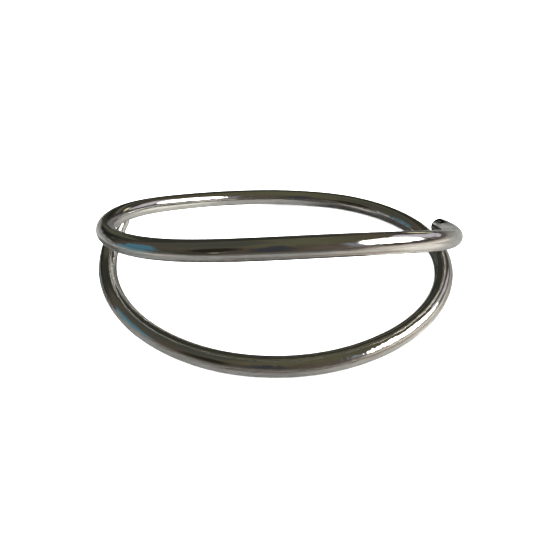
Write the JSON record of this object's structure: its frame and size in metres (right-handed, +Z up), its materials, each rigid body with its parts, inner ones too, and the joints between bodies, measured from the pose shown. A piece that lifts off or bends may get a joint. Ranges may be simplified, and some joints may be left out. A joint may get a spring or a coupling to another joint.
{
  "type": "bangle",
  "caption": "Wrap bangle of round polished wire coiled round an oval and open at the front, where the upper coil rises, with free rounded ends; worn on the wrist.",
  "frame": {"origin": "centre of the bounding box in plan, on the plane that the lower coil lies on", "axes": "+X across the wrist along the oval's length, towards the upper free end; +Y from the front, where the two coils stand furthest apart, to the back, where they are one; +Z up"},
  "size_m": [0.0666, 0.0558, 0.022],
  "materials": {
    "polished_silver": "mirror-polished sterling silver"
  },
  "bodies": {
    "root": {"bangle_wire": "polished_silver"}
  },
  "joints": []
}
